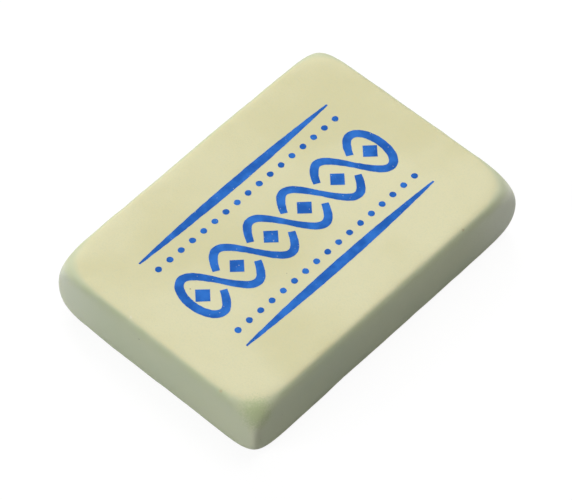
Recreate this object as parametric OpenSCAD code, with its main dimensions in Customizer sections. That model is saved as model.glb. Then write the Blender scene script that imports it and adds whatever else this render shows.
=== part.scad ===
// A plain block eraser: one solid piece of soft rubber, tumbled until every edge is round.
// Sizes are in millimetres. X runs along the length, Y across the width and Z up from the
// face that it rests on, with the origin at the middle of that face.

/* [Block] */
// Length over the fullest part of the two end walls
block_length = 40; // [30:0.5:60]
// Width over the fullest part of the two long walls
block_width = 28.2; // [20:0.2:40]
// Thickness between the two flat faces
block_thickness = 7.6; // [5:0.1:14]

/* [Tumbled edges] */
// How far the rim of each flat face lies inside the fullest outline
rim_inset = 1.9; // [0.5:0.1:3]
// Length of side that each rounded corner takes up at the waist, halfway up the walls
waist_corner = 2.8; // [1:0.1:6]
// Length of side that it takes up at the flat faces, where tumbling wears away the most
face_corner = 10.9; // [4:0.1:12]
// Squareness of the rounding: 2 is an ellipse, more keeps the walls flatter and the edges crisper
edge_power = 5; // [2:0.5:8]

/* [Hidden] */

rubber_colour = "#ddd9b0";

// Bands of the wall from the waist to a flat face
wall_bands = 14;
// Chords in each rounded corner of an outline
corner_chords = 10;
// Points in one outline
outline_points = 4 * (corner_chords + 1);
// Longest corner, as a share of half the outline's shorter side
corner_limit_share = 0.95;

// Shares of a rounding's two sizes at an angle from 0 to 90 degrees, on a superellipse
function along_share(angle) = pow(cos(angle), 2 / edge_power);
function across_share(angle) = pow(sin(angle), 2 / edge_power);

// Share of the way from the waist to a flat face, and the inset from the waist, at each band of the wall
function band_angle(band) = 90 * band / wall_bands;
function climb_share(band) = across_share(band_angle(band));
function band_inset(band) = rim_inset * (1 - along_share(band_angle(band)));

// The corners open out up the wall, by a quarter of an ellipse from their size at the waist
function corner_size(band, half_side) =
    min(
        waist_corner + (face_corner - waist_corner) * (1 - sqrt(1 - pow(climb_share(band), 2))),
        corner_limit_share * half_side
    );

// A rectangle with rounded corners at one band of the wall, anticlockwise from the +X side
function outline(band) =
    let (
        inset = band_inset(band),
        half_length = block_length / 2 - inset,
        half_width = block_width / 2 - inset,
        size = corner_size(band, min(half_length, half_width))
    )
    [
        for (corner = [0:3], chord = [0:corner_chords])
            let (
                x_side = corner == 0 || corner == 3 ? 1 : -1,
                y_side = corner < 2 ? 1 : -1,
                turn = 90 * chord / corner_chords,
                angle = x_side == y_side ? turn : 90 - turn
            )
            [
                x_side * (half_length - size + size * along_share(angle)),
                y_side * (half_width - size + size * across_share(angle)),
                block_thickness / 2 * climb_share(band)
            ]
    ];

// The four corners of one facet between a band and the next, clockwise from outside
function wall_facet(band, point) =
    let (
        low = band * outline_points,
        high = low + outline_points,
        next = (point + 1) % outline_points
    )
    [low + point, high + point, high + next, low + next];

// Half of the block, lofted from the waist up to one flat face
module half_block() {
    last_outline = wall_bands * outline_points;
    waist_cap = [for (point = [0:outline_points - 1]) point];
    face_cap = [for (point = [outline_points - 1:-1:0]) last_outline + point];
    walls = [
        for (band = [0:wall_bands - 1], point = [0:outline_points - 1]) wall_facet(band, point)
    ];
    polyhedron(
        points = [for (band = [0:wall_bands]) each outline(band)],
        faces = concat([waist_cap, face_cap], walls)
    );
}

// The whole block: the same half above and below the waist
module eraser() {
    color(rubber_colour)
    translate([0, 0, block_thickness / 2])
    union() {
        half_block();
        mirror([0, 0, 1])
            half_block();
    }
}

eraser();
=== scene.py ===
"""Looks of a small block eraser of ivory rubber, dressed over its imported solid.

The rubber block and the ornament printed on it are grown by Geometry Nodes trees, which this
script builds from named sizes. Sizes are in millimetres until they meet Blender, which works
in metres. X runs along the block, Y across it and Z up from the face that it lies on.
"""

import logging
import math
from dataclasses import dataclass
from enum import Enum

import bpy
from bpy.types import ID, Material, Node, NodeTree, Object, World
from bpy.types import NodeSocket as Socket
from mathutils import Matrix, Vector


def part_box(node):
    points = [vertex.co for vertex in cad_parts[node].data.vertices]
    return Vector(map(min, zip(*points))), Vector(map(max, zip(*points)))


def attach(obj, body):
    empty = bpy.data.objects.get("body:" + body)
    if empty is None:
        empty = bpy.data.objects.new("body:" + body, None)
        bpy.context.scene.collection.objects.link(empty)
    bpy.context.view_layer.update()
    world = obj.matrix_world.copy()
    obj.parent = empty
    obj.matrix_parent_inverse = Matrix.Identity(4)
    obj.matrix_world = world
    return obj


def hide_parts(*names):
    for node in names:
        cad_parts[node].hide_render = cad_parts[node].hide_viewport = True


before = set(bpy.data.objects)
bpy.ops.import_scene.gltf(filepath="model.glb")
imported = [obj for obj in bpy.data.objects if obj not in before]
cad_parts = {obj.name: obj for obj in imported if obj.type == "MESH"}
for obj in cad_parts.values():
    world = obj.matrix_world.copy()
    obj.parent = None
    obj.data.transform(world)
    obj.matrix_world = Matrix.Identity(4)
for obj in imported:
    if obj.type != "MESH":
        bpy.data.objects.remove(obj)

LOG = logging.getLogger("eraser")
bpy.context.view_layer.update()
BODY = "root"
MM = 0.001
WARM_WHITE = (1.0, 0.99, 0.98)

# Stands in for zero where a number is divided by
TINY = 1e-6
# Bend, in radians, that counts as none
NO_BEND = 1e-4
# Slack for comparing whole numbers
WHOLE_SLACK = 0.1
# Brings the largest value of sin(a) ** 3 * cos(a), at 60 degrees, to 1
CREASE_GAIN = 3.08

Colour = tuple[float, float, float, float]
Triple = tuple[float, float, float]
# Where something starts, and where it is full or ends
Span = tuple[float, float]
Number = "Field | float"


def linear(hex_colour: str) -> Colour:
    """Turns a screen colour into the linear one that Blender's sockets hold.

    Args:
        hex_colour: Colour as it looks on a screen, such as "#ddd9b0".

    Returns:
        The same colour as linear red, green and blue, with an alpha of 1.
    """
    shares = [int(hex_colour[at:at + 2], 16) / 255 for at in (1, 3, 5)]
    red, green, blue = (
        share / 12.92 if share <= 0.04045 else ((share + 0.055) / 1.055) ** 2.4
        for share in shares
    )
    return red, green, blue, 1.0


def placed(name: str, data: ID) -> Object:
    """Puts a new object into the scene.

    Args:
        name: Its name.
        data: The mesh, lamp or camera that it holds.

    Returns:
        The object, at the origin.
    """
    thing = bpy.data.objects.new(name, data)
    bpy.context.scene.collection.objects.link(thing)
    return thing


def empty_tree(owner: "Material | World") -> NodeTree:
    """Turns on the nodes of a material or a world, and takes out those that it starts with.

    Args:
        owner: The material or the world.

    Returns:
        Its node tree.
    """
    owner.use_nodes = True
    owner.node_tree.nodes.clear()
    return owner.node_tree


class Field:
    """A number that a node tree works out at each point, reckoned with like a plain one."""

    def __init__(self, graph: "Graph", socket: Socket) -> None:
        """Keeps the tree and the socket that the number comes from."""
        self.graph = graph
        self.socket = socket

    def __add__(self, other: Number) -> "Field":
        """Returns the sum of the two."""
        return self.graph.maths("ADD", self, other)

    def __sub__(self, other: Number) -> "Field":
        """Returns this number less the other."""
        return self.graph.maths("SUBTRACT", self, other)

    def __rsub__(self, other: Number) -> "Field":
        """Returns the other number less this one."""
        return self.graph.maths("SUBTRACT", other, self)

    def __mul__(self, other: Number) -> "Field":
        """Returns the product of the two."""
        return self.graph.maths("MULTIPLY", self, other)

    def __truediv__(self, other: Number) -> "Field":
        """Returns this number over the other."""
        return self.graph.maths("DIVIDE", self, other)

    def __rtruediv__(self, other: Number) -> "Field":
        """Returns the other number over this one."""
        return self.graph.maths("DIVIDE", other, self)

    def __pow__(self, other: Number) -> "Field":
        """Returns this number to the power of the other."""
        return self.graph.maths("POWER", self, other)

    def __abs__(self) -> "Field":
        """Returns the number without its sign."""
        return self.graph.maths("ABSOLUTE", self)

    __radd__ = __add__
    __rmul__ = __mul__

    def sign(self) -> "Field":
        """Returns -1, 0 or 1."""
        return self.graph.maths("SIGN", self)

    def sin(self) -> "Field":
        """Returns the sine of the number as an angle in radians."""
        return self.graph.maths("SINE", self)

    def cos(self) -> "Field":
        """Returns the cosine of the number as an angle in radians."""
        return self.graph.maths("COSINE", self)

    def at_least(self, other: Number) -> "Field":
        """Returns the larger of the two."""
        return self.graph.maths("MAXIMUM", self, other)

    def at_most(self, other: Number) -> "Field":
        """Returns the smaller of the two."""
        return self.graph.maths("MINIMUM", self, other)

    def below(self, other: Number) -> "Field":
        """Returns 1 where this number is less than the other, and 0 elsewhere."""
        return self.graph.maths("LESS_THAN", self, other)

    def centred(self) -> "Field":
        """Returns noise round 0.5 as a number round 0, which seldom leaves the range from -1 to 1."""
        return self * 4 - 2

    def ramp(self, start: Number, end: Number) -> "Field":
        """Makes a smooth step.

        Args:
            start: Where it is 0.
            end: Where it is 1, which may be the lower of the two.

        Returns:
            The step, which stays at 0 and at 1 beyond its ends.
        """
        inputs = {"Value": self, "From Min": start, "From Max": end}
        node = self.graph.add("ShaderNodeMapRange", inputs, interpolation_type="SMOOTHSTEP")
        return Field(self.graph, node.outputs[0])


class Graph:
    """Adds nodes to one tree and joins them.

    Attributes:
        tree: The tree that the nodes go into.
        place: Where each point is, in metres. Only trees for shapes and surfaces have it.
    """

    tree: NodeTree
    place: Socket

    def __init__(self, tree: NodeTree) -> None:
        """Keeps the tree."""
        self.tree = tree

    def add(
        self, kind: str, inputs: dict[str | int, object] | None = None, **settings: object
    ) -> Node:
        """Adds one node.

        Args:
            kind: Blender's name for the type of node.
            inputs: What goes into its sockets, by name or place: a value, a Field or a socket.
            **settings: The node's own settings.

        Returns:
            The new node.
        """
        node = self.tree.nodes.new(kind)
        for name, value in settings.items():
            setattr(node, name, value)
        for key, value in (inputs or {}).items():
            self.feed(node.inputs[key], value)
        return node

    def feed(self, socket: Socket, value: object) -> None:
        """Links a Field or a socket to an input, or sets a plain value on it.

        Args:
            socket: The input.
            value: What goes into it.
        """
        source = value.socket if isinstance(value, Field) else value
        if isinstance(source, Socket):
            self.tree.links.new(source, socket)
        else:
            socket.default_value = source

    def maths(self, operation: str, *values: Number) -> Field:
        """Returns the result of one of the Math node's operations on the values."""
        node = self.add("ShaderNodeMath", dict(enumerate(values)), operation=operation)
        return Field(self, node.outputs[0])

    def split(self, vector: Socket) -> tuple[Field, Field, Field]:
        """Returns the three parts of a vector as numbers."""
        node = self.add("ShaderNodeSeparateXYZ", {0: vector})
        return tuple(Field(self, part) for part in node.outputs)

    def join(self, x: Number, y: Number, z: Number) -> Socket:
        """Returns a vector of three numbers."""
        return self.add("ShaderNodeCombineXYZ", {0: x, 1: y, 2: z}).outputs[0]

    def noise(self, feature: float, seed: Number, detail: float = 2.0) -> Node:
        """Adds seeded noise.

        Args:
            feature: Rough size of its patches, in millimetres.
            seed: A different number gives a different noise.
            detail: How many finer layers it has.

        Returns:
            The noise node: output 0 is a number round 0.5, and output 1 three of them.
        """
        inputs = {"Vector": self.place, "W": seed, "Scale": 1 / (feature * MM), "Detail": detail}
        return self.add("ShaderNodeTexNoise", inputs, noise_dimensions="4D")

    def grain(self, feature: float, seed: Number, detail: float = 2.0) -> Field:
        """Returns seeded noise as one number round 0.5, with the same arguments as noise()."""
        return Field(self, self.noise(feature, seed, detail).outputs[0])

    def blend(self, share: Number, low: object, high: object) -> Socket:
        """Mixes two colours.

        Args:
            share: How much there is of the second one.
            low: The first colour, or a socket that gives it.
            high: The second.

        Returns:
            The socket of the mixed colour.
        """
        return self.add("ShaderNodeMix", {0: share, 6: low, 7: high}, data_type="RGBA").outputs[2]


class ShapeTree(Graph):
    """A Geometry Nodes tree with named inputs for its sizes, which ends as a plain mesh."""

    def __init__(self, name: str) -> None:
        """Starts the tree.

        Args:
            name: The tree's name, and later its object's.
        """
        super().__init__(bpy.data.node_groups.new(name, "GeometryNodeTree"))
        self.name = name
        self.place = self.add("GeometryNodeInputPosition").outputs[0]
        self.given = self.add("NodeGroupInput")
        self.values: dict[str, float | int] = {}
        self.tree.interface.new_socket(name="Mesh", in_out="OUTPUT", socket_type="NodeSocketGeometry")

    def _input(self, name: str, value: float | int, kind: str) -> Field:
        """Adds a named input if it is new, and keeps the value that it gets on the modifier.

        Args:
            name: The input's name.
            value: Its value, in metres where it is a length.
            kind: Blender's name for the type of socket.

        Returns:
            The input, for other nodes.
        """
        if name not in self.given.outputs:
            item = self.tree.interface.new_socket(name=name, in_out="INPUT", socket_type=kind)
            self.values[item.identifier] = value
        return Field(self, self.given.outputs[name])

    def size(self, name: str, millimetres: float) -> Field:
        """Adds a length as a named input, and returns it in metres."""
        return self._input(name, millimetres * MM, "NodeSocketFloat")

    def share(self, name: str, value: float) -> Field:
        """Adds a plain number as a named input."""
        return self._input(name, value, "NodeSocketFloat")

    def count(self, name: str, value: int) -> Field:
        """Adds a whole number, such as a seed, as a named input."""
        return self._input(name, value, "NodeSocketInt")

    def keep(self, mesh: Socket, name: str, value: Field) -> Socket:
        """Keeps a number on each point of a mesh, for later nodes and for the material.

        Args:
            mesh: The mesh.
            name: The attribute's name.
            value: The number.

        Returns:
            The mesh with the attribute on it.
        """
        inputs = {"Geometry": mesh, "Name": name, "Value": value}
        return self.add("GeometryNodeStoreNamedAttribute", inputs, data_type="FLOAT").outputs[0]

    def kept(self, name: str) -> Field:
        """Returns a number that keep() left on the points."""
        node = self.add("GeometryNodeInputNamedAttribute", {"Name": name}, data_type="FLOAT")
        return Field(self, node.outputs[0])

    def gather(self, *parts: Socket) -> Socket:
        """Joins several geometries.

        Args:
            *parts: The geometries.

        Returns:
            All of them as one.
        """
        node = self.add("GeometryNodeJoinGeometry")
        for part in parts:
            self.tree.links.new(part, node.inputs[0])
        return node.outputs[0]

    def finished(self, mesh: Socket, material: Material, rounded: bool) -> Object:
        """Ends the tree and turns what it makes into a plain mesh.

        Args:
            mesh: What the tree makes.
            material: The finish of all its faces.
            rounded: Whether light runs smoothly over its edges, or each face is flat.

        Returns:
            An object at the origin with the mesh, and with no modifier left on it.
        """
        real = self.add("GeometryNodeRealizeInstances", {0: mesh}).outputs[0]
        shaded = self.add("GeometryNodeSetShadeSmooth", {0: real, "Shade Smooth": rounded}).outputs[0]
        dressed = self.add("GeometryNodeSetMaterial", {0: shaded, "Material": material}).outputs[0]
        self.add("NodeGroupOutput", {0: dressed})

        piece = placed(self.name, bpy.data.meshes.new(self.name))
        modifier = piece.modifiers.new("shape", "NODES")
        modifier.node_group = self.tree
        for identifier, value in self.values.items():
            modifier[identifier] = value
        graph = bpy.context.evaluated_depsgraph_get()
        made = bpy.data.meshes.new_from_object(
            piece.evaluated_get(graph), preserve_all_data_layers=True, depsgraph=graph
        )
        piece.modifiers.clear()
        piece.data = made
        return piece


class Surface(Graph):
    """A material's node tree, with its shader and output in place."""

    def __init__(self, name: str) -> None:
        """Starts the material.

        Args:
            name: The material's name.
        """
        self.material = bpy.data.materials.new(name)
        super().__init__(empty_tree(self.material))
        self.shader = self.add("ShaderNodeBsdfPrincipled")
        self.add("ShaderNodeOutputMaterial", {"Surface": self.shader.outputs[0]})
        self.place = self.add("ShaderNodeTexCoord").outputs["Object"]

    def kept(self, name: str) -> Field:
        """Returns a number that the piece's tree left on its points."""
        node = self.add("ShaderNodeAttribute", attribute_name=name, attribute_type="GEOMETRY")
        return Field(self, node.outputs["Fac"])

    def distance(self, place: Triple) -> Field:
        """Measures how far the surface is from a place.

        Args:
            place: The place, in millimetres.

        Returns:
            The distance, in metres.
        """
        inputs = {0: self.place, 1: Vector(place) * MM}
        node = self.add("ShaderNodeVectorMath", inputs, operation="DISTANCE")
        return Field(self, node.outputs["Value"])

    def shade(self, settings: dict[str, object]) -> None:
        """Sets the shader's sockets by name, each to a plain value, a Field or another socket."""
        for name, value in settings.items():
            self.feed(self.shader.inputs[name], value)

    def bump(self, height: Field, depth: float) -> None:
        """Raises the surface a little where a number is larger.

        Args:
            height: The number.
            depth: Height that a step of 1 stands for, in millimetres.
        """
        inputs = {"Height": height, "Distance": depth * MM}
        self.shade({"Normal": self.add("ShaderNodeBump", inputs).outputs[0]})


@dataclass(frozen=True)
class RoundPatch:
    """A round patch of colour on the rubber, frayed by the rubber's grain: most are marks that handling
    left, one is painted shade.

    Attributes:
        place: Its middle.
        radius: Its radius.
        colour: Its colour.
        strength_share: Share of that colour at its middle.
        edge_span: Its edge, in radii from its middle.
    """

    place: Triple
    radius: float
    colour: str
    strength_share: float = 0.7
    edge_span: Span = (1.3, 0.6)

    def share(self, surface: Surface, tooth: Field) -> Field:
        """Works out how much of the patch covers each point.

        Args:
            surface: The rubber's material.
            tooth: The grain, which counts as a little more distance.

        Returns:
            The share of its colour.
        """
        radii = surface.distance(self.place) / (self.radius * MM) + tooth
        return radii.ramp(*self.edge_span) * self.strength_share


@dataclass(frozen=True)
class RubberFinish:
    """Matt ivory rubber: faintly mottled, finely grained, painted shade on walls and rims, corners paled
    by wear and painted highlight.

    Attributes:
        ivory: Colour of most of the rubber.
        deep: Colour of its yellower patches.
        wall_shade: Colour of the walls: a painted shade, greyer and cooler than the top.
        worn: Colour of the corners' walls, paler and cooler than the rubber: partly wiped clean, partly
            a painted highlight.
        rim: Colour of painted shade on the walls just below the rims, darker and more olive than the
            rubber.
        speck: Colour of the specks in the filler.
        patch: Size of the mottling.
        patch_span: Noise that makes a yellower patch.
        patch_share: Share of the yellower colour in a full patch.
        rub_fineness: How many times smaller the rubbed spots are than the mottling.
        rub_span: Noise that makes a rubbed spot.
        wall_shade_share: Share of that painted shade on the walls between the yellower patches.
        rim_shade_share: Share of that painted shade below the rims between the rubbed spots.
        rim_shade_gain: What a rubbed spot adds to that share.
        tooth: Size of the surface grain.
        tooth_depth: Depth of the grain and the rubbed spots together.
        tooth_share: Share of the grain in that depth.
        pit_span: Grain that makes a darker pit.
        pit_share: Share of the walls' colour in a full pit.
        speck_cell: Distance between the places where a speck may lie.
        speck_chance: Share of those places that have one.
        speck_span: Edge of a speck, in cells from its middle.
        speck_share: Share of the specks' colour in a full one.
        roughness: How matt the surface is.
        roughness_play: How far mottling and grain shift that.
        shine: Strength of its reflection.
        bloom: Share of the fine powder that pales the rubber where it turns away from the eye.
        bloom_roughness: How far that dust spreads the light.
        inner_share: Share of the light that enters the rubber and leaves it nearby.
        inner_reach: How far that light goes inside.
        inner_tint_shares: Shares of that reach for red, green and blue.
        marks_and_shade: The larger marks, and a broad patch of painted shade on the front corner's slope
            below the rim.
        seed: Seed of all its noise.
    """

    ivory: str = "#e4e0b9"
    deep: str = "#dcd7ab"
    wall_shade: str = "#cbd3b7"
    worn: str = "#eaedda"
    rim: str = "#c8d1a7"
    speck: str = "#8b8a72"
    patch: float = 11.0
    patch_span: Span = (0.35, 0.68)
    patch_share: float = 0.9
    rub_fineness: float = 7.0
    rub_span: Span = (0.4, 0.62)
    wall_shade_share: float = 0.75
    rim_shade_share: float = 0.35
    rim_shade_gain: float = 0.3
    tooth: float = 0.16
    tooth_depth: float = 0.02
    tooth_share: float = 0.7
    pit_span: Span = (0.56, 0.3)
    pit_share: float = 0.18
    speck_cell: float = 1.6
    speck_chance: float = 0.04
    speck_span: Span = (0.07, 0.04)
    speck_share: float = 0.6
    roughness: float = 0.82
    roughness_play: float = 0.12
    shine: float = 0.22
    bloom: float = 0.1
    bloom_roughness: float = 0.35
    inner_share: float = 0.12
    inner_reach: float = 0.6
    inner_tint_shares: Triple = (1.0, 0.85, 0.5)
    marks_and_shade: tuple[RoundPatch, ...] = (
        RoundPatch((-19.22, 3.46, 7.53), 0.30, "#ece9d2"),
        RoundPatch((-19.95, 1.70, 6.19), 0.16, "#8d9078"),
        RoundPatch((-19.52, -9.17, 7.37), 0.35, "#c9bf95"),
        RoundPatch((-18.91, -12.36, 7.29), 0.40, "#e2e5c3"),
        RoundPatch((11.45, -13.63, 7.39), 0.32, "#b9ad86"),
        # Painted shade: a broad olive patch on the front corner's slope below the rim.
        RoundPatch((-18.85, -13.40, 6.75), 2.90, "#bac893"),
    )
    seed: float = 26.0

    def material(self) -> Material:
        """Makes the rubber's material.

        Returns:
            The material, which takes "wall", "wiped_and_highlight" and "rim_shade" from the points of
            its piece.
        """
        surface = Surface("ivory_rubber")
        rub_patch = self.patch / self.rub_fineness
        mottle = surface.grain(self.patch, self.seed, detail=3).ramp(*self.patch_span)
        tooth = surface.grain(self.tooth, self.seed + 1, detail=2)
        rub = surface.grain(rub_patch, self.seed + 2, detail=3).ramp(*self.rub_span)

        # Painted shade: the walls take a greyer, cooler colour than the top, in random patches.
        wall_shade_mask = surface.kept("wall") * (self.wall_shade_share + (1 - self.wall_shade_share) * mottle)
        # Painted shade on the rounded edge just below each rim.
        rim_shade = surface.kept("rim_shade") * (self.rim_shade_share + self.rim_shade_gain * rub)
        layers = [
            (wall_shade_mask, self.wall_shade),
            # Paler corners: partly wiped clean, partly a painted highlight.
            (surface.kept("wiped_and_highlight"), self.worn),
            (rim_shade, self.rim),
            (tooth.ramp(*self.pit_span) * self.pit_share, self.wall_shade),
            (self._specks(surface) * self.speck_share, self.speck),
        ]
        layers += [(round_patch.share(surface, tooth), round_patch.colour) for round_patch in self.marks_and_shade]
        colour = surface.blend(mottle * self.patch_share, linear(self.ivory), linear(self.deep))
        for share, layer_colour in layers:
            colour = surface.blend(share, colour, linear(layer_colour))

        surface.shade({
            "Base Color": colour,
            "Roughness": self.roughness + self.roughness_play * (mottle - tooth),
            "Specular IOR Level": self.shine,
            "Sheen Weight": self.bloom,
            "Sheen Roughness": self.bloom_roughness,
            "Subsurface Weight": self.inner_share,
            "Subsurface Radius": self.inner_tint_shares,
            "Subsurface Scale": self.inner_reach * MM,
        })
        surface.bump(tooth * self.tooth_share + (1 - self.tooth_share) * rub, self.tooth_depth)
        return surface.material

    def _specks(self, surface: Surface) -> Field:
        """Scatters sparse specks in the rubber.

        Args:
            surface: The material that they are in.

        Returns:
            1 inside the specks and 0 elsewhere.
        """
        inputs = {"Vector": surface.place, "Scale": 1 / (self.speck_cell * MM)}
        cells = surface.add("ShaderNodeTexVoronoi", inputs)
        chosen = surface.split(cells.outputs["Color"])[0].below(self.speck_chance)
        return chosen * Field(surface, cells.outputs["Distance"]).ramp(*self.speck_span)


@dataclass(frozen=True)
class InkFinish:
    """Cobalt ink, printed on the rubber: uneven in depth, with pinholes where it didn't take.

    Attributes:
        full: Colour of a full coat.
        lean: Colour of a thin one.
        rubber: Colour that shows through the pinholes.
        patch: Size of the uneven patches.
        patch_span: Noise that makes a thin patch.
        pinhole: Size of the noise that makes the pinholes.
        pinhole_span: Noise that makes a pinhole.
        pinhole_share: Share of the rubber's colour in an open one.
        roughness: How matt a full coat is.
        pinhole_roughness: What an open pinhole adds to that.
        patch_smoothness: What the thinnest patch takes from it.
        shine: Strength of its reflection.
        relief: Depth of its uneven surface.
        seed: Seed of all its noise.
    """

    full: str = "#1b5db6"
    lean: str = "#2c75d2"
    rubber: str = "#cfd0b8"
    patch: float = 1.6
    patch_span: Span = (0.36, 0.66)
    pinhole: float = 0.22
    pinhole_span: Span = (0.72, 0.78)
    pinhole_share: float = 0.7
    roughness: float = 0.8
    pinhole_roughness: float = 0.1
    patch_smoothness: float = 0.08
    shine: float = 0.15
    relief: float = 0.008
    seed: float = 21.0

    def material(self) -> Material:
        """Makes the ink's material.

        Returns:
            The material.
        """
        surface = Surface("blue_ink")
        thin = surface.grain(self.patch, self.seed, detail=4).ramp(*self.patch_span)
        hole = surface.grain(self.pinhole, self.seed + 1, detail=1).ramp(*self.pinhole_span)

        colour = surface.blend(thin, linear(self.full), linear(self.lean))
        colour = surface.blend(hole * self.pinhole_share, colour, linear(self.rubber))
        matt = self.roughness + self.pinhole_roughness * hole - self.patch_smoothness * thin

        surface.shade({"Base Color": colour, "Roughness": matt, "Specular IOR Level": self.shine})
        surface.bump((thin - hole) / 2, self.relief)
        return surface.material


class Corner(Enum):
    """The block's four corners, by the signs of X and Y there."""

    FAR = (1, 1)
    LEFT = (-1, 1)
    FRONT = (-1, -1)
    RIGHT = (1, -1)


@dataclass(frozen=True)
class CornerWear:
    """How much more, or less, one corner is rounded than the solid's corners are.

    Attributes:
        corner: Which corner it is.
        waist: Length of side that it takes up beyond theirs, halfway up the walls.
        face: The same at the upper face.
        lean: How much lower down the wall its rounding sets in, from 0 to 1.
        pale: How pale its walls are, partly wiped clean by handling and partly a painted highlight, from
            0 to 1.
    """

    corner: Corner
    waist: float
    face: float
    lean: float
    pale: float


@dataclass
class RubberBlock:
    """The rubber block, lofted by the same rule as its solid and then tumbled.

    Attributes:
        node: CAD node that the block stands for.
        rim_inset: How far the rim of each flat face lies inside the fullest outline.
        waist_corner: Length of side that each rounded corner takes up halfway up the walls.
        face_corner: Length of side that it takes up at the flat faces.
        edge_power: Squareness of the rounding, from 2 for an ellipse upwards.
        uneven: What tumbling did to each corner by itself, with its paleness, which is partly a painted
            highlight.
        under_share: Share of that wear which the lower face has.
        pale_reach: How far along the walls the corners' paleness reaches.
        pale_span: Angles up the wall for that, in radians.
        wall_span: The same for the walls, for their painted shade and their bow.
        ridge_wall_cut_share: Share of the walls' painted shade, and of their bow, taken off the ridge of
            a corner, less where the corner is pale.
        ridge_pale_share: Paleness of every corner's ridge, partly wear and partly a painted highlight.
        grid: Points along X, Y and Z in the mesh that the block is bent from.
        row_power: Power that evens out the rows of that mesh up the walls.
        ripple: How far the tumbled edges wander from their line.
        ripple_length: Rough length of that wandering.
        bow: How far the walls wander from theirs.
        bow_length: Rough length of that.
        knock_radius: Radius of a small dent in an edge.
        knock_depth: Its depth.
        knocks_per_area: Dents on each square millimetre of edge.
        seed: Seed of the wear.
        tree: The tree that its nodes go into.
    """

    node: str = "eraser"
    rim_inset: float = 1.9
    waist_corner: float = 2.8
    face_corner: float = 10.9
    edge_power: float = 5.0
    uneven: tuple[CornerWear, ...] = (
        CornerWear(Corner.FAR, waist=-0.6, face=0.2, lean=0.0, pale=0.6),
        CornerWear(Corner.LEFT, waist=0.8, face=1.2, lean=0.12, pale=0.55),
        CornerWear(Corner.FRONT, waist=-0.95, face=0.7, lean=0.43, pale=0.05),
        CornerWear(Corner.RIGHT, waist=-0.7, face=1.2, lean=0.33, pale=1.0),
    )
    under_share: float = 0.15
    pale_reach: float = 10.0
    pale_span: Span = (0.85, 0.3)
    wall_span: Span = (1.3, 0.87)
    ridge_wall_cut_share: float = 0.35
    ridge_pale_share: float = 0.25
    grid: tuple[int, int, int] = (140, 100, 72)
    row_power: float = 1.6
    ripple: float = 0.035
    ripple_length: float = 2.4
    bow: float = 0.05
    bow_length: float = 11.0
    knock_radius: float = 0.45
    knock_depth: float = 0.03
    knocks_per_area: float = 0.12
    seed: int = 11

    def __post_init__(self) -> None:
        """Opens the tree that the nodes go into."""
        self.tree = ShapeTree("rubber_block")

    def build(self, finish: RubberFinish) -> Object:
        """Makes the block and puts it in its solid's place.

        Args:
            finish: The rubber's finish.

        Returns:
            The finished piece.
        """
        worn = self._tumbled(self._lofted())
        piece = self.tree.finished(worn, finish.material(), rounded=True)
        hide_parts(self.node)
        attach(piece, BODY)
        return piece

    def _lofted(self) -> Socket:
        """Bends a gridded cube into the block, by the rule of its solid.

        A point's height in the cube becomes an angle up the wall, which gives its height and
        the inset and corner of the outline there. Its place round the cube becomes a place
        round that outline.

        Returns:
            The block, with "crease", "wall", "rim_shade" and "wiped_and_highlight" kept on its points.
        """
        tree = self.tree
        low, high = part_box(self.node)
        length, width, thickness = (high - low) / MM
        half_length = tree.size("Half length", length / 2)
        half_width = tree.size("Half width", width / 2)
        half_thickness = tree.size("Half thickness", thickness / 2)
        rim = tree.size("Rim inset", self.rim_inset)
        edge_power = tree.share("Edge power", self.edge_power)

        counts = dict(zip(("Vertices X", "Vertices Y", "Vertices Z"), self.grid))
        cube = tree.add("GeometryNodeMeshCube", {"Size": (2, 2, 2), **counts})
        x, y, z = tree.split(tree.place)
        ring = abs(x).at_least(abs(y)).at_least(TINY)
        turn = abs(z) ** self.row_power * (math.pi / 2)
        bend = 2 / edge_power
        hold = turn.cos().at_least(0) ** bend
        rise = turn.sin().at_least(0) ** bend

        inset = rim * (1 - hold)
        waist_wear, face_wear, lean, pale = self._corner_wear(x, y)
        under = tree.share("Share under", self.under_share)
        shown = 1 - z.below(0) * (1 - under)
        spread = 1 - (1 - rise * rise).at_least(0) ** 0.5
        spread = spread + (rise * rise - spread) * lean * shown
        waist_corner = tree.size("Waist corner", self.waist_corner) + waist_wear
        face_corner = tree.size("Face corner", self.face_corner) + face_wear * shown
        corner = waist_corner + (face_corner - waist_corner) * spread

        half_x, half_y = half_length - inset, half_width - inset
        along, across = abs(x) / ring * half_x, abs(y) / ring * half_y
        into_x = ((along - half_x + corner) / corner).at_least(0)
        into_y = ((across - half_y + corner) / corner).at_least(0)
        angle = (1 + into_y - into_x) * (math.pi / 4)
        reach_x = along.at_most(half_x - corner) + corner * angle.cos().at_least(0) ** bend
        reach_y = across.at_most(half_y - corner) + corner * angle.sin().at_least(0) ** bend

        to_corner = half_x - reach_x + half_y - reach_y
        mesh = self._marked(cube.outputs[0], turn, angle, to_corner, pale)
        bent = tree.join(
            x.sign() * reach_x * ring,
            y.sign() * reach_y * ring,
            half_thickness * (1 + z.sign() * rise),
        )
        return tree.add("GeometryNodeSetPosition", {0: mesh, "Position": bent}).outputs[0]

    def _marked(
        self, mesh: Socket, turn: Field, angle: Field, to_corner: Field, pale: Number
    ) -> Socket:
        """Keeps on each point how the block is worn there, and where its colour carries painted shade
        and highlight.

        Args:
            mesh: The cube before it is bent.
            turn: Angle up the wall, from 0 halfway up to a right angle at a flat face.
            angle: Angle round the corner, from 0 to a right angle.
            to_corner: Distance, along X and Y together, from where the corner would be if sharp.
            pale: How pale the corner is, partly wiped clean and partly a painted highlight.

        Returns:
            The cube with "crease", "wall", "rim_shade" and "wiped_and_highlight" on its points.
        """
        crease = turn.sin() ** 3 * turn.cos().at_least(0) * CREASE_GAIN
        ridge = (angle * 2).sin() ** 2
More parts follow.
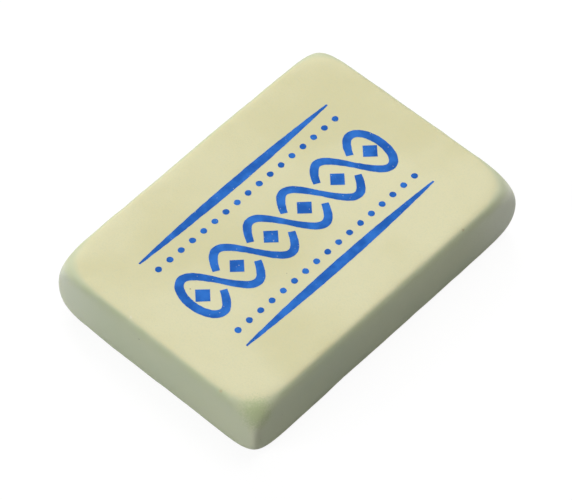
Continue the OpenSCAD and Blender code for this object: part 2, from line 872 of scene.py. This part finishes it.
        # Where the walls are, for their painted shade and for their bow.
        wall = turn.ramp(*self.wall_span)
        reach = self.tree.size("Pale reach", self.pale_reach)
        # Paler corners and ridges: partly wear, partly a painted highlight.
        wiped_and_highlight = to_corner.ramp(reach, 0) * pale + self.ridge_pale_share * ridge
        marks = {
            "crease": crease,
            # The corner ridges lose part of the walls' painted shade, which lightens them.
            "wall": wall * (1 - self.ridge_wall_cut_share * ridge * (1 - pale)),
            # Painted shade on the rounded edge below the rims.
            "rim_shade": wall * crease * (1 - ridge * pale),
            "wiped_and_highlight": wiped_and_highlight * turn.ramp(*self.pale_span),
        }
        for name, value in marks.items():
            mesh = self.tree.keep(mesh, name, value)
        return mesh

    def _corner_wear(self, x: Field, y: Field) -> tuple[Number, ...]:
        """Gives each quarter of the block its own corner.

        Args:
            x: Place along the block, of which only the sign counts.
            y: Place across it, likewise.

        Returns:
            The corner's wear: its length of side at the waist, the same at the upper face, how
            early it sets in, and how pale it is, which is partly a painted highlight.
        """
        waist, face, lean, pale = 0.0, 0.0, 0.0, 0.0
        for wear in self.uneven:
            x_side, y_side = wear.corner.value
            here = (x * -x_side).below(0) * (y * -y_side).below(0)
            name = wear.corner.name.capitalize()
            waist = waist + here * self.tree.size(f"{name} waist wear", wear.waist)
            face = face + here * self.tree.size(f"{name} face wear", wear.face)
            lean = lean + here * self.tree.share(f"{name} lean", wear.lean)
            pale = pale + here * self.tree.share(f"{name} paleness", wear.pale)
        return waist, face, lean, pale

    def _tumbled(self, mesh: Socket) -> Socket:
        """Wears the block's edges and walls, and leaves its two faces flat.

        Args:
            mesh: The block as it left the mould.

        Returns:
            The worn block.
        """
        tree = self.tree
        seed = tree.count("Seed", self.seed)
        ripple = tree.size("Edge ripple", self.ripple)
        bow = tree.size("Wall bow", self.bow)
        radius = tree.size("Knock radius", self.knock_radius)
        depth = tree.size("Knock depth", self.knock_depth)
        density = tree.share("Knocks on a square metre", self.knocks_per_area / MM**2)
        crease, wall = tree.kept("crease"), tree.kept("wall")

        knocks = tree.add(
            "GeometryNodeDistributePointsOnFaces",
            {"Mesh": mesh, "Density": density * crease, "Seed": seed},
        )
        near = tree.add("GeometryNodeProximity", {0: knocks.outputs[0]}, target_element="POINTS")
        dent = Field(tree, near.outputs["Distance"]).ramp(radius, 0) * depth
        wander = crease * ripple * tree.grain(self.ripple_length, seed).centred()
        sway = wall * bow * tree.grain(self.bow_length, seed + 1).centred()
        outward = tree.add("GeometryNodeInputNormal").outputs[0]
        inputs = {0: outward, "Scale": wander + sway - dent}
        offset = tree.add("ShaderNodeVectorMath", inputs, operation="SCALE").outputs[0]
        return tree.add("GeometryNodeSetPosition", {0: mesh, "Offset": offset}).outputs[0]


class LongSide(Enum):
    """The side of the print that a rule and its beads lie on."""

    FAR = 1
    NEAR = -1


@dataclass
class PrintedOrnament:
    """A band of interlace in blue ink on the upper face, between beads and swelled rules.

    The interlace is one closed strand that runs there and back, so that it crosses itself and
    leaves a row of eyes. It passes over and under by turns.

    Attributes:
        node: CAD node that carries the print.
        eyes: Number of eyes, with the loop at each end counted as one.
        eye_length: Distance from one eye to the next.
        sway: How far the strand swings to each side of the middle.
        loop_share: Length given to the loop at each end, as a share of the sway.
        strand: Width of the strand at its fullest.
        strand_thin_share: Share of that width where it crosses itself.
        strand_points: Points round the strand before it is cut.
        gap: Half of the break where the strand passes under itself, measured along the band.
        lozenge: Half the length of the lozenge in each eye.
        bead: Radius of a bead.
        bead_sides: Sides of a bead's outline.
        beads: Beads in a row.
        bead_line: Distance of each row of beads from the middle.
        rule: Width of a swelled rule at its middle.
        rule_taper_share: Share of that width which is gone at its ends.
        rule_length: Its length.
        rule_steps: Steps along it.
        rule_line: Its distance from the middle.
        film: Thickness of the ink.
        sunk: How much of that is below the rubber's surface.
        bleed: How far the ink's edge strays.
        bleed_length: Rough length of that straying.
        seed: Its seed.
        tree: The tree that its nodes go into.
    """

    node: str = "eraser"
    eyes: int = 6
    eye_length: float = 5.0
    sway: float = 2.9
    loop_share: float = 3.2
    strand: float = 0.95
    strand_thin_share: float = 0.72
    strand_points: int = 640
    gap: float = 0.55
    lozenge: float = 1.05
    bead: float = 0.36
    bead_sides: int = 24
    beads: int = 17
    bead_line: float = 5.5
    rule: float = 1.1
    rule_taper_share: float = 0.8
    rule_length: float = 28.0
    rule_steps: int = 80
    rule_line: float = 7.4
    film: float = 0.024
    sunk: float = 0.01
    bleed: float = 0.03
    bleed_length: float = 0.5
    seed: int = 5

    def __post_init__(self) -> None:
        """Opens the tree that the nodes go into."""
        self.tree = ShapeTree("printed_ornament")

    def build(self, finish: InkFinish) -> Object:
        """Makes the print and lays it on the upper face.

        Args:
            finish: The ink's finish.

        Returns:
            The finished piece.
        """
        parts = [self._interlace(), self._lozenges()]
        for side in LongSide:
            parts += [self._beads(side), self._rule(side)]
        printed = self._bled(self.tree.gather(*parts))
        piece = self.tree.finished(printed, finish.material(), rounded=False)
        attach(piece, BODY)
        return piece

    def _level(self) -> float:
        """Returns the height of the middle of the ink film, in millimetres."""
        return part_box(self.node)[1].z / MM - self.sunk + self.film / 2

    def _ribbon(self, line: Socket, width: Field) -> Socket:
        """Turns a line on the face into a ribbon of ink.

        Args:
            line: Edges that the ribbon follows, with its "swell" kept on their points.
            width: The ribbon's width where that is 1.

        Returns:
            The ribbon, closed all round.
        """
        tree = self.tree
        curve = tree.add("GeometryNodeMeshToCurve", {0: line}).outputs[0]
        flat = tree.add("GeometryNodeSetCurveNormal", {0: curve}, mode="Z_UP").outputs[0]
        profile = tree.add(
            "GeometryNodeCurvePrimitiveQuadrilateral",
            {"Width": width, "Height": tree.size("Film", self.film)},
        )
        inputs = {
            0: flat,
            "Profile Curve": profile.outputs[0],
            "Scale": tree.kept("swell"),
            "Fill Caps": True,
        }
        return tree.add("GeometryNodeCurveToMesh", inputs).outputs[0]

    def _interlace(self) -> Socket:
        """Makes the strand: there and back along a sine, round an ellipse at each end.

        Returns:
            The strand as ribbons, broken where it passes under itself.
        """
        tree = self.tree
        eye = tree.size("Eye length", self.eye_length)
        sway = tree.size("Sway", self.sway)
        gap = tree.size("Gap", self.gap)
        width = tree.size("Strand", self.strand)
        level = tree.size("Level", self._level())
        run = eye * (self.eyes - 1)
        loop_depth = eye / math.pi
        loop_length = sway * self.loop_share
        half_way = run + loop_length

        circle = tree.add("GeometryNodeMeshCircle", {"Vertices": self.strand_points})
        index = Field(tree, tree.add("GeometryNodeInputIndex").outputs[0])
        travelled = index / self.strand_points * half_way * 2
        back = 1 - travelled.below(half_way)
        travelled = travelled - back * half_way
        along = travelled.at_most(run) - run / 2
        bend = (travelled - run).at_least(0) / loop_length * math.pi
        swing = (along / eye * math.pi + (self.eyes % 2) * math.pi / 2).sin()
        heading = 1 - back * 2
        place = tree.join(
            heading * (along + loop_depth * bend.sin()),
            sway * swing * bend.cos(),
            level,
        )

        crossing = tree.maths("ROUND", along / eye)
        from_crossing = abs(along - crossing * eye)
        odd = tree.maths("FLOORED_MODULO", crossing, 2)
        turn_to_go_under = tree.maths("COMPARE", odd, back, WHOLE_SLACK)
        under = turn_to_go_under * from_crossing.below(gap) * bend.below(NO_BEND)
        swell = self.strand_thin_share + (1 - self.strand_thin_share) * abs(swing)
        line = tree.keep(circle.outputs[0], "swell", swell)
        line = tree.keep(line, "under", under)
        line = tree.add("GeometryNodeSetPosition", {0: line, "Position": place}).outputs[0]
        cut = tree.add("GeometryNodeDeleteGeometry", {0: line, "Selection": tree.kept("under")})
        return self._ribbon(cut.outputs[0], width)

    def _line(self, number: int, step: float, aside: float) -> Socket:
        """Lays points along the face, centred on its middle.

        Args:
            number: How many there are.
            step: Distance from one to the next.
            aside: The line's distance from the middle, with its sign.

        Returns:
            The points, joined by edges.
        """
        start = (-step * (number - 1) / 2 * MM, aside * MM, self._level() * MM)
        inputs = {"Count": number, "Start Location": start, "Offset": (step * MM, 0, 0)}
        return self.tree.add("GeometryNodeMeshLine", inputs).outputs[0]

    def _dots(self, line: Socket, sides: int, radius: Field) -> Socket:
        """Puts a dot of ink on each point of a line.

        Args:
            line: The points.
            sides: Sides of a dot's outline.
            radius: Its radius.

        Returns:
            The dots.
        """
        inputs = {"Vertices": sides, "Radius": radius, "Depth": self.tree.size("Film", self.film)}
        dot = self.tree.add("GeometryNodeMeshCylinder", inputs).outputs[0]
        return self.tree.add("GeometryNodeInstanceOnPoints", {0: line, "Instance": dot}).outputs[0]

    def _lozenges(self) -> Socket:
        """Returns a lozenge for each eye."""
        line = self._line(self.eyes, self.eye_length, 0)
        return self._dots(line, sides=4, radius=self.tree.size("Lozenge", self.lozenge))

    def _beads(self, side: LongSide) -> Socket:
        """Returns a row of beads on one side of the interlace."""
        line = self._line(self.beads, self.rule_length / self.beads, side.value * self.bead_line)
        return self._dots(line, self.bead_sides, self.tree.size("Bead", self.bead))

    def _rule(self, side: LongSide) -> Socket:
        """Makes a rule that swells from its fine ends to its middle.

        Args:
            side: The side of the interlace that it lies on.

        Returns:
            The rule.
        """
        tree = self.tree
        step = self.rule_length / self.rule_steps
        line = self._line(self.rule_steps + 1, step, side.value * self.rule_line)
        x = tree.split(tree.place)[0]
        to_end = abs(x) / (self.rule_length / 2 * MM)
        swell = 1 - self.rule_taper_share * to_end ** 2
        return self._ribbon(tree.keep(line, "swell", swell), tree.size("Rule", self.rule))

    def _bled(self, mesh: Socket) -> Socket:
        """Lets the ink's edges stray a little over the rubber's grain.

        Args:
            mesh: The print with clean edges.

        Returns:
            The print as it came off the press.
        """
        tree = self.tree
        real = tree.add("GeometryNodeRealizeInstances", {0: mesh}).outputs[0]
        bleed = tree.size("Bleed", self.bleed)
        seed = tree.count("Seed", self.seed)
        stray = tree.noise(self.bleed_length, seed, detail=1)
        ahead, aside, _ = tree.split(stray.outputs[1])
        offset = tree.join(bleed * ahead.centred(), bleed * aside.centred(), 0)
        return tree.add("GeometryNodeSetPosition", {0: real, "Offset": offset}).outputs[0]


@dataclass(frozen=True)
class Lamp:
    """A soft square lamp.

    Attributes:
        name: Its name.
        place: Where it hangs.
        size: Length of its side.
        watts: Its power.
        tint: Its colour, as linear red, green and blue.
    """

    name: str
    place: Triple
    size: float
    watts: float
    tint: Triple

    def hang(self, aim: Vector) -> Object:
        """Hangs the lamp and turns it towards the object.

        Args:
            aim: The point that it faces, in metres.

        Returns:
            The lamp.
        """
        data = bpy.data.lights.new(self.name, "AREA")
        data.shape = "SQUARE"
        data.size = self.size * MM
        data.energy = self.watts
        data.color = self.tint
        lamp = placed(self.name, data)
        lamp.location = Vector(self.place) * MM
        lamp.rotation_euler = (aim - lamp.location).to_track_quat("-Z", "Y").to_euler()
        return lamp


@dataclass
class Studio:
    """A white sweep under soft light, seen by a camera at the photograph's angle.

    Attributes:
        azimuth: Camera's angle round the object, in degrees, with 0 looking along +Y.
        elevation: Its angle above the horizon, in degrees.
        roll: Its turn about its own axis, in degrees.
        distance: Its distance from the point that it aims at.
        aim: That point.
        pixels_per_mm: Scale of the photograph at that distance.
        frame_width: Width of the photograph, in pixels.
        sight_span: Nearest and farthest that the camera sees.
        floor_side: Length of the floor's side.
        floor_drop: Gap between the floor and the block, so that no two faces share a plane.
        floor_white: Brightness of the floor, a little above white.
        glow: Part of that brightness which the object's shadow leaves alone.
        bounce: Shares of red, green and blue light that the floor throws back at the object.
        sky: Light from all round, as linear red, green and blue.
        lamps: The lamps.
    """

    azimuth: float = -46.95
    elevation: float = 53.485
    roll: float = -0.264
    distance: float = 357.9
    aim: Triple = (-0.75, -0.445, 4.0)
    pixels_per_mm: float = 9.782
    frame_width: int = 572
    sight_span: Span = (10.0, 20000.0)
    floor_side: float = 4000.0
    floor_drop: float = 0.03
    floor_white: float = 1.04
    glow: float = 0.92
    bounce: Triple = (0.55, 0.555, 0.56)
    sky: Triple = (0.005, 0.005, 0.005)
    lamps: tuple[Lamp, ...] = (
        Lamp("back_lamp", (433, 618, 490), size=500, watts=4.25, tint=WARM_WHITE),
        Lamp("back_right_lamp", (330, 90, 830), size=500, watts=1.6, tint=WARM_WHITE),
        Lamp("left_lamp", (-570, 207, 350), size=300, watts=2.25, tint=(0.967, 0.988, 1.0)),
        Lamp("top_lamp", (236, -198, 846), size=500, watts=2.55, tint=WARM_WHITE),
        Lamp("right_fill", (446, -531, 97), size=400, watts=0.25, tint=(0.95, 0.98, 1.0)),
    )

    def build(self) -> None:
        """Sets up the floor, the light and the camera."""
        scene = bpy.context.scene
        scene.view_settings.view_transform = "Standard"
        scene.world = self._sky()
        self._floor()
        for lamp in self.lamps:
            lamp.hang(Vector(self.aim) * MM)
        scene.camera = self._camera()

    def _by_eye(self, graph: Graph, unseen: Node, seen: Node) -> Socket:
        """Joins the shader that lights the object and the one that is looked at.

        Args:
            graph: The tree that the nodes go into.
            unseen: The shader that lights the object.
            seen: The one that is looked at, also in a mirror or through glass.

        Returns:
            The socket of the joined shader.
        """
        ray = graph.add("ShaderNodeLightPath")
        camera, glossy, clear = (
            Field(graph, ray.outputs[name])
            for name in ("Is Camera Ray", "Is Glossy Ray", "Is Transmission Ray")
        )
        share = camera.at_least(glossy).at_least(clear)
        inputs = {0: share, 1: unseen.outputs[0], 2: seen.outputs[0]}
        return graph.add("ShaderNodeMixShader", inputs).outputs[0]

    def _sky(self) -> World:
        """Makes a world that is white to look at and lights the object as the sky says.

        Returns:
            The world.
        """
        world = bpy.data.worlds.new("sky")
        graph = Graph(empty_tree(world))
        light = graph.add("ShaderNodeBackground", {"Color": (*self.sky, 1.0)})
        white = graph.add("ShaderNodeBackground", {"Color": (1.0, 1.0, 1.0, 1.0)})
        graph.add("ShaderNodeOutputWorld", {"Surface": self._by_eye(graph, light, white)})
        return world

    def _floor_finish(self) -> Material:
        """Makes the floor's material, which looks white and keeps a soft shadow.

        Returns:
            The material.
        """
        material = bpy.data.materials.new("floor_white")
        graph = Graph(empty_tree(material))
        lit = self.floor_white - self.glow
        shade = graph.add("ShaderNodeBsdfDiffuse", {"Color": (lit, lit, lit, 1.0)})
        glow = graph.add("ShaderNodeEmission", {"Strength": self.glow})
        white = graph.add("ShaderNodeAddShader", {0: shade.outputs[0], 1: glow.outputs[0]})
        back = graph.add("ShaderNodeBsdfDiffuse", {"Color": (*self.bounce, 1.0)})
        graph.add("ShaderNodeOutputMaterial", {"Surface": self._by_eye(graph, back, white)})
        return material

    def _floor(self) -> Object:
        """Lays a plain square floor.

        Returns:
            The floor.
        """
        half, level = self.floor_side / 2 * MM, -self.floor_drop * MM
        corners = [(x * half, y * half, level) for x, y in ((-1, -1), (1, -1), (1, 1), (-1, 1))]
        mesh = bpy.data.meshes.new("floor")
        mesh.from_pydata(corners, [], [(0, 1, 2, 3)])
        mesh.materials.append(self._floor_finish())
        return placed("floor", mesh)

    def _camera(self) -> Object:
        """Sets up a camera that frames the block as the photograph does.

        Returns:
            The camera.
        """
        around, above, roll = (math.radians(a) for a in (self.azimuth, self.elevation, self.roll))
        back = Vector((
            math.sin(around) * math.cos(above),
            -math.cos(around) * math.cos(above),
            math.sin(above),
        ))
        right = Vector((math.cos(around), math.sin(around), 0))
        up = back.cross(right)
        tilted_right = right * math.cos(roll) + up * math.sin(roll)
        tilted_up = up * math.cos(roll) - right * math.sin(roll)

        data = bpy.data.cameras.new("camera")
        data.lens = data.sensor_width * self.pixels_per_mm * self.distance / self.frame_width
        data.clip_start, data.clip_end = (reach * MM for reach in self.sight_span)
        camera = placed("camera", data)
        turned = Matrix((tilted_right, tilted_up, back)).transposed().to_4x4()
        camera.matrix_world = Matrix.Translation((Vector(self.aim) + back * self.distance) * MM) @ turned
        return camera


def main() -> None:
    """Builds the eraser and its studio, and reports each piece."""
    logging.basicConfig(level=logging.INFO, format="%(name)s: %(message)s")
    pieces = (
        RubberBlock().build(RubberFinish()),
        PrintedOrnament().build(InkFinish()),
    )
    for piece in pieces:
        LOG.info("%s has %d faces", piece.name, len(piece.data.polygons))
    Studio().build()


if __name__ == "__main__":
    main()
